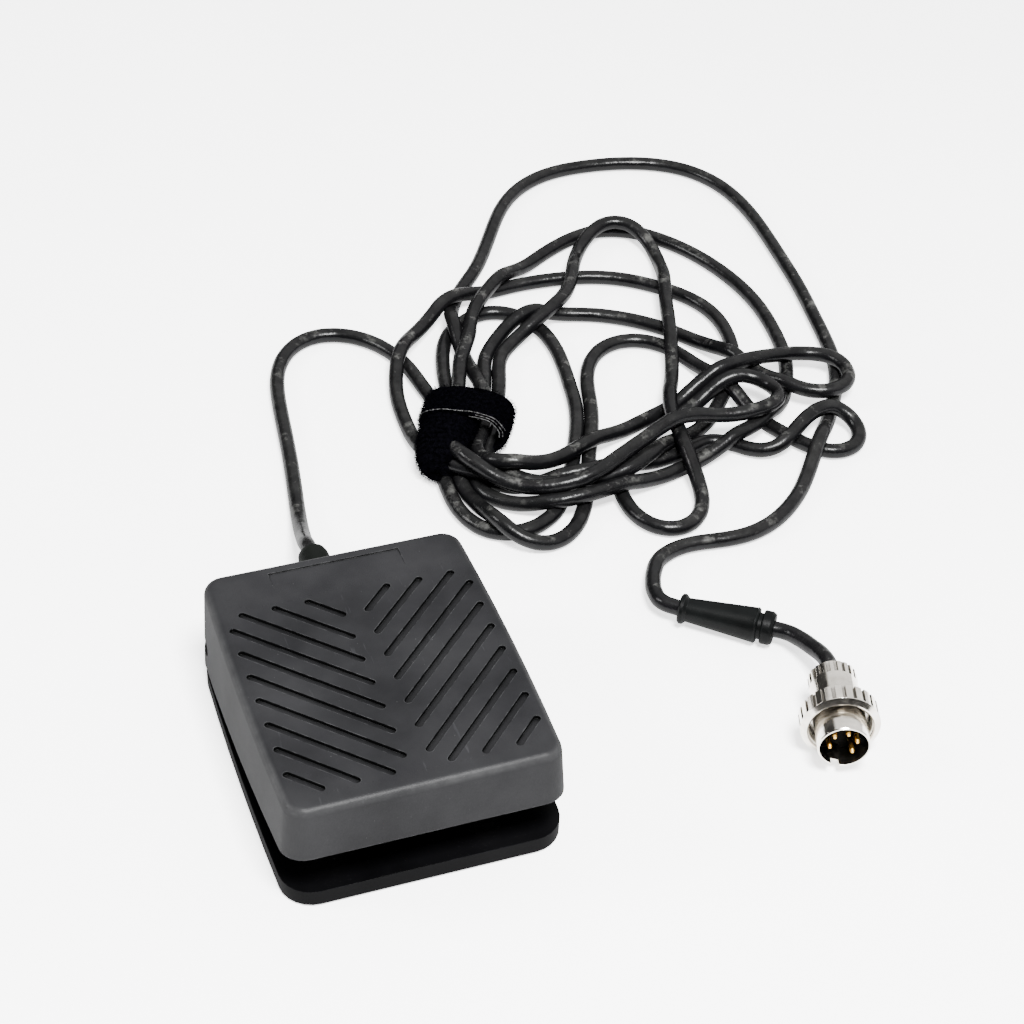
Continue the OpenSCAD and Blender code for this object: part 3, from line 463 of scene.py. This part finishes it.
# Two loops, in millimetres from the strap's middle: the band, and its end wound over towards the front
BAND = {"centre": -1.5, "half_w": 13, "half_h": 7.9, "front": -3, "rear": 9.2}
WRAP = {"centre": -5.2, "half_w": 8.1, "half_h": 7.2, "front": -21, "rear": 1, "taper": 0.96, "droop": 0.3}
STRAP_THICK = 1.9 * MM
SQUARENESS = 2.5            # of a loop's section, where 2 is an oval
LOOP_POINTS, LOOP_ROWS = 96, 14
LEAST_HEIGHT = 0.1          # millimetres above the table
BAND_FIBRES, WRAP_FIBRES = 6000, 5000
FIBRE_LENGTH, FIBRE_R = 0.9 * MM, 0.06 * MM
FIBRE_SPREAD, FIBRE_BOW = 0.5, 0.12
EDGE_THREAD_R, EDGE_THREAD_SIDES = 0.13 * MM, 6
# The band's pale threads: the shares of the way round between which each lies, and how far out it stands
EDGE_THREADS = [(0.06, 0.47, 0.15), (0.02, 0.2, -0.9), (0.0, 0.22, -1.9)]


def strap_material(name, dark, light, loops=0.0004):
    """Looped fabric: deep black, matt, with a fine pile."""
    s = Shader(name, Specular_IOR_Level=0.0)
    s.link("Base Color", s.ramp(s.noise(900, 5), (0.35, dark), (0.8, light)))
    s.link("Roughness", s.ramp(s.noise(600, 4), (0.3, 0.9), (0.7, 1.0)))
    s.bumps((s.cells(2200), loops), (s.noise(700, 5), loops))
    return s.material


def strap_place(across, along, up):
    """A point given in millimetres from the strap's middle."""
    return STRAP_AT + (ACROSS * across + STRANDS_AIM * along) * MM + mm(0, 0, up)


def strap_loop(centre, half_w, half_h, front, rear, taper=0.0, droop=0.0):
    """Rows of points of a soft loop round the strands, each a rounded ring, which may narrow to the front."""
    rings = []
    for j in range(LOOP_ROWS + 1):
        t = 1 - j / LOOP_ROWS
        narrow = math.sqrt(1 - taper * t ** 4)
        ring = []
        for i in range(LOOP_POINTS):
            a = 2 * math.pi * i / LOOP_POINTS
            c, s = math.cos(a), math.sin(a)
            bend = (abs(c) ** SQUARENESS + abs(s) ** SQUARENESS) ** (-1 / SQUARENESS)
            pucker = 1 + 0.012 * math.sin(5 * a + 2.1 * t) + 0.008 * math.sin(11 * a + 5 * t)
            across = centre + half_w * narrow * bend * c * pucker
            along = front + (rear - front) * j / LOOP_ROWS + 0.5 * math.sin(2 * a + 0.6)
            up = half_h * (1 + narrow * bend * s * pucker) - droop * t ** 2.5 * half_h
            ring.append(strap_place(across, along, max(LEAST_HEIGHT, up)))
        rings.append(ring)
    return rings


def loop_mesh(name, rings, material):
    """A soft shell from the rings, which are its outer face: given its thickness and rounded off."""
    around = len(rings[0])
    verts = [p for ring in rings for p in ring]
    faces = []
    for j in range(len(rings) - 1):
        for i in range(around):
            near, far, following = j * around, (j + 1) * around, (i + 1) % around
            faces.append((near + i, far + i, far + following, near + following))
    obj = add_mesh(name, verts, faces, material)
    solid = obj.modifiers.new("thickness", "SOLIDIFY")
    solid.thickness = STRAP_THICK
    solid.offset = -1
    soft = obj.modifiers.new("rounded", "SUBSURF")
    soft.levels = soft.render_levels = 1
    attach(obj, "base")
    return obj


def add_pile(name, rings, count, material, seed):
    """Short loose fibres that stand out of a loop of fabric."""
    rng = np.random.default_rng(seed)
    grid = np.array([[tuple(p) for p in ring] for ring in rings])
    rows, around = grid.shape[:2]
    middle = grid.mean(axis=1, keepdims=True)
    verts, faces = [], []
    for _ in range(count):
        j, i = rng.integers(0, rows), rng.integers(0, around)
        root = grid[j, i] + (grid[j, (i + 1) % around] - grid[j, i]) * rng.random()
        out = root - middle[j, 0]
        out = out / np.linalg.norm(out) + rng.normal(0, FIBRE_SPREAD, 3)
        out /= np.linalg.norm(out)
        side = np.cross(out, rng.normal(0, 1, 3))
        side *= FIBRE_R / max(np.linalg.norm(side), 1e-9)
        tip = root + out * FIBRE_LENGTH * (0.5 + rng.random())
        tip[2] = max(tip[2], LEAST_HEIGHT * MM)
        bow = (root + tip) / 2 + rng.normal(0, FIBRE_BOW, 3) * FIBRE_LENGTH
        bow[2] = max(bow[2], LEAST_HEIGHT * MM)
        k = len(verts)
        verts += [root - side, root + side, bow + side, bow - side, tip]
        faces += [(k, k + 1, k + 2, k + 3), (k + 3, k + 2, k + 4)]
    obj = add_mesh(name, verts, faces, material, False)
    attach(obj, "base")


def thread(points):
    """Verts and faces of a thin uneven thread along the points."""
    sides = EDGE_THREAD_SIDES
    verts, faces = [], []
    for k, p in enumerate(points):
        ahead = (points[min(k + 1, len(points) - 1)] - points[max(k - 1, 0)]).normalized()
        right = ahead.cross(Vector((0, 0, 1))).normalized()
        up = right.cross(ahead)
        swell = EDGE_THREAD_R * (1 + 0.35 * math.sin(2.4 * k))
        for i in range(sides):
            a = 2 * math.pi * i / sides
            verts.append(p + (right * math.cos(a) + up * math.sin(a)) * swell)
        if k:
            n = (k - 1) * sides
            for i in range(sides):
                following = (i + 1) % sides
                faces.append((n + i, n + following, n + sides + following, n + sides + i))
    return verts, faces


def edge_points(ring, first, last):
    """Points along a ring, between two shares of the way round it."""
    around = len(ring)
    return [ring[i % around] for i in range(int(first * around), int(last * around) + 1)]


def make_strap():
    """The hook-and-loop strap: band, wound-over end, their pile, and pale threads on the band's edge."""
    fabric = strap_material("strap_fabric", (0.0002, 0.0002, 0.0003), (0.0016, 0.0015, 0.0024))
    band, wrap = strap_loop(**BAND), strap_loop(**WRAP)
    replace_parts(loop_mesh("strap_band", band, fabric), "cord_strap")
    loop_mesh("strap_wrap", wrap, fabric)
    add_pile("strap_band_pile", band, BAND_FIBRES, fabric, 1)
    add_pile("strap_wrap_pile", wrap, WRAP_FIBRES, fabric, 2)
    middle = strap_place(BAND["centre"], BAND["front"], BAND["half_h"])
    verts, faces = [], []
    for first, last, lift in EDGE_THREADS:
        line = [p + (p - middle).normalized() * lift * MM for p in edge_points(band[0], first, last)]
        more_verts, more_faces = thread(line)
        faces += [tuple(i + len(verts) for i in face) for face in more_faces]
        verts += more_verts
    pale = strap_material("strap_edge_thread", (0.004, 0.004, 0.004), (0.12, 0.12, 0.12), 0.0001)
    edges = add_mesh("strap_edges", verts, faces, pale)
    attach(edges, "base")


# ---- the plug ----


# The thread in the ring's mouth, in millimetres: where it starts and ends along the plug, and its form
THREAD_START, THREAD_END = 15.3, 18.6
THREAD_BORE, THREAD_DEPTH, THREAD_PITCH = 8.32, 0.45, 0.75
THREAD_STEPS = 48
# A ridge: places along the pitch, and the share of the depth there
THREAD_PROFILE = [(-0.5, 0.0), (-0.12, 1.0), (0.12, 1.0), (0.5, 0.0)]
RIDGE_WIDTH = 0.9


def make_ring_thread():
    """The turned thread inside the mouth of the coupling ring."""
    side = PLUG_AIM.cross(Vector((0, 0, 1)))
    up = side.cross(PLUG_AIM)
    verts, faces = [], []
    total = int((THREAD_END - THREAD_START) / THREAD_PITCH * THREAD_STEPS)
    for k in range(total + 1):
        a = 2 * math.pi * k / THREAD_STEPS
        outward = side * math.cos(a) + up * math.sin(a)
        s = THREAD_START + THREAD_PITCH * k / THREAD_STEPS
        for offset, height in THREAD_PROFILE:
            along = PLUG_AIM * (s + offset * THREAD_PITCH * RIDGE_WIDTH)
            verts.append(PLUG_AT + (along + outward * (THREAD_BORE - height * THREAD_DEPTH)) * MM)
        if k:
            n = 4 * (k - 1)
            faces += [(n + i, n + i + 1, n + i + 5, n + i + 4) for i in range(3)]
    nickel = metal("thread_nickel", (0.5, 0.48, 0.44), (0.7, 0.68, 0.64), 0.14)
    obj = add_mesh("ring_thread", verts, faces, nickel)
    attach(obj, "coupling_ring")


# ---- finishes of the CAD nodes ----


def cover_material():
    """Charcoal moulding: fine grain, satin sheen, painted highlight on the fillets, worn edges, scratches,
    specks, and painted shade in its grooves.
    """
    s = Shader("cover_plastic", **thin_coat(0.09, 0.36))
    base = s.ramp(s.noise(38, 5), (0.3, (0.005, 0.005, 0.0055)), (0.72, (0.0115, 0.0115, 0.0122)))
    # Paler on the fillets between walls and top, picked by which way they face: painted highlight.
    fillet_highlight = s.times(s.facing_up((0.2, 0.0), (0.55, 1.0), (0.8, 1.0), (0.97, 0.0)),
                     s.ramp(s.noise(55, 4), (0.25, 0.15), (0.75, 1.0)))
    base = s.mixed(fillet_highlight, base, s.ramp(s.noise(300, 2), (0.3, (0.018, 0.018, 0.0185)),
                                        (0.8, (0.028, 0.028, 0.0285))))
    wear = s.times(s.edges(0.0005), s.ramp(s.noise(420, 4), (0.4, 0.0), (0.68, 1.0)))
    worn = s.ramp(s.noise(300, 2), (0.0, (0.012, 0.012, 0.013)), (1.0, (0.06, 0.06, 0.062)))
    scratches = s.ramp(s.noise(900, 3, 0.5, stretch=(1, 0.1, 1)), (0.68, 0.0), (0.74, 0.25))
    specks = s.ramp(s.cells(330), (0.0, 0.6), (0.035, 0.0))
    marked = s.mixed(wear, base, worn)
    marked = s.mixed(scratches, marked, s.ramp(s.noise(90, 2), (0.3, (0.012, 0.012, 0.014)),
                                               (0.8, (0.04, 0.04, 0.042))))
    marked = s.mixed(specks, marked, s.ramp(s.noise(90, 2), (0.3, (0.03, 0.03, 0.03)),
                                            (0.8, (0.2, 0.2, 0.2))))
    # Near black in the grooves and hollows, where shade falls: painted shade.
    groove_shade = s.ramp(s.noise(90, 2), (0.0, (0.0003, 0.0003, 0.0003)), (1.0, (0.0012, 0.0012, 0.0012)))
    s.link("Base Color", s.mixed(s.hollows(3 * MM), marked, groove_shade))
    s.link("Roughness", s.ramp(s.noise(70, 6), (0.3, 0.32), (0.7, 0.48)))
    s.bumps((s.noise(2600, 3, 0.6), 0.00005), (s.noise(45, 2), 0.00006), start=s.rounded(0.00035))
    return s.material


def dress_nodes():
    """Gives each node of the CAD its finish."""
    dress(cover_material(), "pedal_cover")
    dress(moulded("base_plastic", (0.0006, 0.0006, 0.0007), (0.0015, 0.0015, 0.0017), 0.32, 1600, 0.00002,
                  **thin_coat(0.05, 0.3)), "base_plate", "cord_clamp")
    dress(moulded("foot_rubber", (0.003, 0.003, 0.003), (0.008, 0.008, 0.008), 0.8, 1500, 0.00003,
                  **thin_coat(0.05, 0.7)), "rubber_feet")
    dress(moulded("boot_rubber", (0.001, 0.0012, 0.001), (0.0035, 0.004, 0.0035), 0.5, 1800, 0.00002,
                  **thin_coat(0.08, 0.45)), "cord_boot", "cord_inner_end")
    dress(moulded("sleeve_rubber", (0.0008, 0.0009, 0.0009), (0.003, 0.0034, 0.0034), 0.38, 2400, 0.00003,
                  **thin_coat(0.1, 0.35)), "cord_sleeve")
    dress(moulded("switch_plastic", (0.16, 0.02, 0.014), (0.3, 0.05, 0.03), 0.42, 1500, 0.00002, worn=1.3),
          "switch_case")
    dress(moulded("switch_lid_plastic", (0.02, 0.01, 0.008), (0.05, 0.02, 0.016), 0.42, 1500, 0.00002),
          "switch_lid")
    dress(moulded("plunger_plastic", (0.5, 0.48, 0.42), (0.7, 0.68, 0.6), 0.4, 1500, 0.00001, worn=1.1),
          "switch_plunger")
    dress(moulded("crimp_plastic", (0.4, 0.03, 0.02), (0.6, 0.06, 0.04), 0.35, 1500, 0.00001, worn=1.2),
          "crimp_sleeves")
    dress(moulded("core_insulation", (0.05, 0.1, 0.3), (0.08, 0.16, 0.45), 0.35, 1500, 0.00001, worn=1.2),
          "core_wires")
    dress(moulded("insert_plastic", (0.0004, 0.0004, 0.0004), (0.0014, 0.0014, 0.0014), 0.5, 1800, 0.00002,
                  **thin_coat(0.05, 0.5)), "plug_insert")
    dress(metal("spring_steel", (0.35, 0.36, 0.38), (0.55, 0.56, 0.58), 0.25), "return_springs",
          "switch_lever", "lever_pin")
    dress(metal("terminal_tin", (0.6, 0.6, 0.6), (0.75, 0.75, 0.74), 0.3), "switch_terminals")
    dress(metal("zinc_steel", (0.45, 0.46, 0.48), (0.65, 0.66, 0.68), 0.3), "switch_screws", "switch_nuts",
          "clamp_screws")
    dress(metal("nickel", (0.46, 0.43, 0.38), (0.7, 0.66, 0.6), 0.09), "plug_back_shell",
          "plug_coupling_ring", "plug_contact_shell")
    dress(metal("gold", (0.36, 0.2, 0.04), (0.55, 0.36, 0.1), 0.18), "plug_contacts")


# ---- stage ----

BRIGHT_SIDE = Vector((0.5, 0.1, 0.86))
WORLD_LOW, WORLD_HIGH = 0.06, 2.2
# Between these two, as a direction turns to the bright side, the world goes from its low to its high
DIM_BELOW, BRIGHT_ABOVE = 0.42, 0.58
FLOOR_HALF = 6
FLOOR_GLOW = 1.5
LIGHTS_AIM = Vector((0.08, 0.08, 0))


def make_stage():
    """The floor, the world and two lamps."""
    corners = [(x * FLOOR_HALF, y * FLOOR_HALF, 0) for x, y in ((-1, -1), (1, -1), (1, 1), (-1, 1))]
    floor = add_mesh("floor", corners, [(0, 1, 2, 3)], floor_material(), False)
    make_world()
    add_light("front", (0.05, -0.4, 0.95), 0.3, 60)
    add_light("left", (-0.75, 0.3, 0.6), 0.3, 10)


def make_world():
    """A soft studio: bright overhead and high on the right, and dark low down."""
    world = bpy.data.worlds.new("studio")
    world.use_nodes = True
    tree = world.node_tree
    way = tree.nodes.new("ShaderNodeTexCoord").outputs["Generated"]
    facing = tree.nodes.new("ShaderNodeVectorMath")
    facing.operation = "DOT_PRODUCT"
    facing.inputs[1].default_value = BRIGHT_SIDE
    tree.links.new(way, facing.inputs[0])
    rise = tree.nodes.new("ShaderNodeMapRange")
    rise.interpolation_type = "SMOOTHSTEP"
    for socket, value in (("From Min", DIM_BELOW), ("From Max", BRIGHT_ABOVE), ("To Min", WORLD_LOW),
                          ("To Max", WORLD_HIGH)):
        rise.inputs[socket].default_value = value
    tree.links.new(facing.outputs["Value"], rise.inputs["Value"])
    tree.links.new(rise.outputs["Result"], tree.nodes["Background"].inputs["Strength"])
    tree.nodes["Background"].inputs["Color"].default_value = (1, 1, 1, 1)
    bpy.context.scene.world = world


def floor_material():
    """White paper that glows a little, so that it stays pale under a dark object."""
    s = Shader("floor_paper", Emission_Strength=FLOOR_GLOW)
    s.link("Base Color", s.ramp(s.noise(4, 3), (0.3, 0.88), (0.7, 0.92)))
    s.link("Emission Color", s.ramp(s.noise(4, 3), (0.3, 0.98), (0.7, 1.0)))
    s.link("Roughness", s.ramp(s.noise(20, 3), (0.3, 0.8), (0.7, 0.9)))
    return s.material


def add_light(name, place, size, power):
    """A square lamp that faces the middle of the object and its cord."""
    data = bpy.data.lights.new(name, "AREA")
    data.size = size
    data.energy = power
    light = bpy.data.objects.new(name, data)
    light.location = place
    light.rotation_euler = (LIGHTS_AIM - Vector(place)).to_track_quat("-Z", "Y").to_euler()
    bpy.context.scene.collection.objects.link(light)


make_camera()
make_strap()
make_ring_thread()
make_cord()
dress_nodes()
make_stage()
